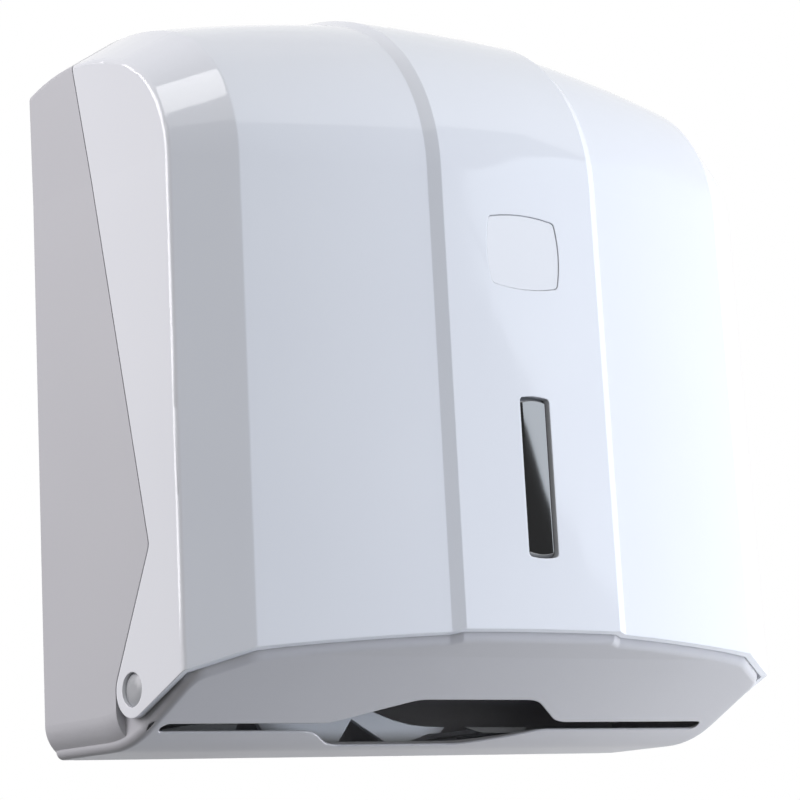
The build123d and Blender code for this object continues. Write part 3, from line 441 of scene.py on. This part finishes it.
# %% [markdown]
# The studio: a pale floor well below the case, with the case's shadow on it, and a white background. The floor bounces
# less light than it shows, so the underside falls into half shade. The background is white for the camera, for
# reflections and through clear pieces, and adds only a little to the light on the case.


# %% Floor and background
def seen_ray(tree):
    """1 for the rays that show a surface: from the camera, off a polished surface or through a clear one."""
    path = add_node(tree, "ShaderNodeLightPath")
    seen = add_node(tree, "ShaderNodeMath", {"operation": "MAXIMUM"},
                    links={0: path.outputs["Is Camera Ray"], 1: path.outputs["Is Glossy Ray"]})
    return add_node(tree, "ShaderNodeMath", {"operation": "MAXIMUM"},
                    links={0: seen.outputs[0], 1: path.outputs["Is Transmission Ray"]}).outputs[0]


floor_size, floor_height = 6.0, -0.9
floor_glow = 0.2  # what the floor adds of its own, so that it doesn't go dark away from the panels
dim_sky, bright_sky = 0.28, 1.0
floor_material, floor_tree, pale = new_material("pale_floor")
pale.inputs["Base Color"].default_value = linear("#d4d4d4")
pale.inputs["Roughness"].default_value = 0.8
pale.inputs["Emission Color"].default_value = linear("#ffffff")
pale.inputs["Emission Strength"].default_value = floor_glow
bounce = add_node(floor_tree, "ShaderNodeBsdfDiffuse", values={"Color": linear("#262626")})
floor_look = add_node(floor_tree, "ShaderNodeMixShader",
                      links={0: seen_ray(floor_tree), 1: bounce.outputs[0], 2: pale.outputs[0]})
floor_tree.links.new(floor_look.outputs[0], floor_tree.nodes["Material Output"].inputs["Surface"])
bpy.ops.mesh.primitive_plane_add(size=floor_size, location=(0, 0, floor_height))
floor = bpy.context.object
floor.name = "studio_floor"
floor.data.materials.append(floor_material)

world = bpy.data.worlds.new("studio_world")
bpy.context.scene.world = world
world.use_nodes = True
sky = world.node_tree
sky.nodes.clear()
dim = add_node(sky, "ShaderNodeBackground", values={"Color": (1, 1, 1, 1), "Strength": dim_sky})
bright = add_node(sky, "ShaderNodeBackground", values={"Color": (1, 1, 1, 1), "Strength": bright_sky})
both = add_node(sky, "ShaderNodeMixShader", links={0: seen_ray(sky), 1: dim.outputs[0], 2: bright.outputs[0]})
add_node(sky, "ShaderNodeOutputWorld", links={"Surface": both.outputs[0]})
print("floor and background made")

# %% [markdown]
# Two things in the studio show in the polished cover and window. The main softbox stands to the right: its bright
# face is a mesh, cut to the outline that the long reflection on the cover needs. The camera's side of the room is a
# tall dim screen, which keeps the window dark and the edge of the softbox's reflection clear. The screen is there for
# reflections only, and neither gives nor stops any light.


# %% Softbox and dim screen
middle = Vector((0.0, -0.06, 0.0))


def around(azimuth, elevation, distance):
    """A place seen from the middle of the case: azimuth 0 is straight in front and 90 is to the right."""
    turned_by, raised = radians(azimuth), radians(elevation)
    return middle + distance * Vector((cos(raised) * sin(turned_by), -cos(raised) * cos(turned_by), sin(raised)))


def glowing_mesh(name, points, faces, hex_colour, strength):
    """A mesh that gives light and that the camera doesn't see."""
    mesh = bpy.data.meshes.new(name)
    mesh.from_pydata(points, [], faces)
    material = bpy.data.materials.new(name + "_face")
    material.use_nodes = True
    tree = material.node_tree
    tree.nodes.clear()
    face = add_node(tree, "ShaderNodeEmission", values={"Color": linear(hex_colour), "Strength": strength})
    add_node(tree, "ShaderNodeOutputMaterial", links={"Surface": face.outputs[0]})
    mesh.materials.append(material)
    glowing = bpy.data.objects.new(name, mesh)
    bpy.context.scene.collection.objects.link(glowing)
    glowing.visible_camera = False
    return glowing


softbox_distance, screen_distance = 1.6, 1.8
# the softbox's corners, as azimuth and elevation in degrees
outline = [(35.5, 15.5), (37, 19), (40, 21.6), (43, 25.4), (47, 27.2), (60, 28), (71, 29.5), (75, 23.5), (84, 18),
           (88, 12), (88, -8), (62, -9), (50, -1), (44.9, 3.2), (43.6, 4.2), (42.1, 6.1), (40.1, 9.8), (37.8, 11.4),
           (36, 13)]
glowing_mesh("right_softbox", [around(*corner, softbox_distance) for corner in outline], [range(len(outline))],
             "#edf5ff", 1.45)
columns = range(-75, 51, 5)
screen_points = [around(azimuth, elevation, screen_distance) for azimuth in columns for elevation in (-14, 36)]
screen_faces = [(2 * i, 2 * i + 1, 2 * i + 3, 2 * i + 2) for i in range(len(columns) - 1)]
screen = glowing_mesh("dim_screen", screen_points, screen_faces, "#ffffff", 0.06)
screen.visible_diffuse = screen.visible_transmission = screen.visible_shadow = False
print("softbox corners", len(outline), "screen columns", len(columns))

# %% [markdown]
# Eight soft panels light the rest. The high key and the high fill model the front from the right, and the front fill
# and the low front open its shades. The left panel lights the case's left side, and the low fill the far end of the
# underside, while the top panel adds a faint sheen to the roof. Panels that would show as squares in the polished cover
# aren't mirrored in it. The bend strip is there only to be mirrored, along the bend at the top of the front.


# %% Soft panels
def soft_panel(name, place, size, power, tint="#ffffff", mirrored=True, lights=True):
    """A rectangular lamp that faces the case; its size is in metres and its power in watts."""
    lamp = bpy.data.lights.new(name, "AREA")
    lamp.shape = "RECTANGLE"
    lamp.size, lamp.size_y = size
    lamp.energy = power
    lamp.color = linear(tint)[:3]
    panel = bpy.data.objects.new(name, lamp)
    panel.location = place
    panel.rotation_euler = (middle - Vector(place)).to_track_quat("-Z", "Y").to_euler()
    panel.visible_glossy = mirrored
    panel.visible_diffuse = lights
    bpy.context.scene.collection.objects.link(panel)


soft_panel("high_key", around(58, 30, 1.8), (1.1, 1.1), 12.0, mirrored=False)
soft_panel("high_fill", around(25, 35, 2.0), (1.0, 1.0), 11.0, "#e9f0ff", mirrored=False)
soft_panel("front_fill", around(-25, 2, 2.2), (1.0, 1.0), 5.6, mirrored=False)
soft_panel("low_front", around(40, -25, 1.5), (0.5, 0.5), 11.8, "#eaf1ff", mirrored=False)
soft_panel("left_panel", around(-115, 22, 1.8), (1.1, 1.1), 23.5, "#faf7fc")
soft_panel("bend_strip", around(-45, 58, 1.6), (0.3, 0.8), 3.2, lights=False)
soft_panel("top_panel", (0.2, 0.15, 1.7), (0.9, 0.9), 0.2)
soft_panel("low_fill", (0.52, -0.04, -0.32), (0.35, 0.35), 3.0, mirrored=False)
bpy.context.scene.view_settings.view_transform = "Standard"
print("panels made")
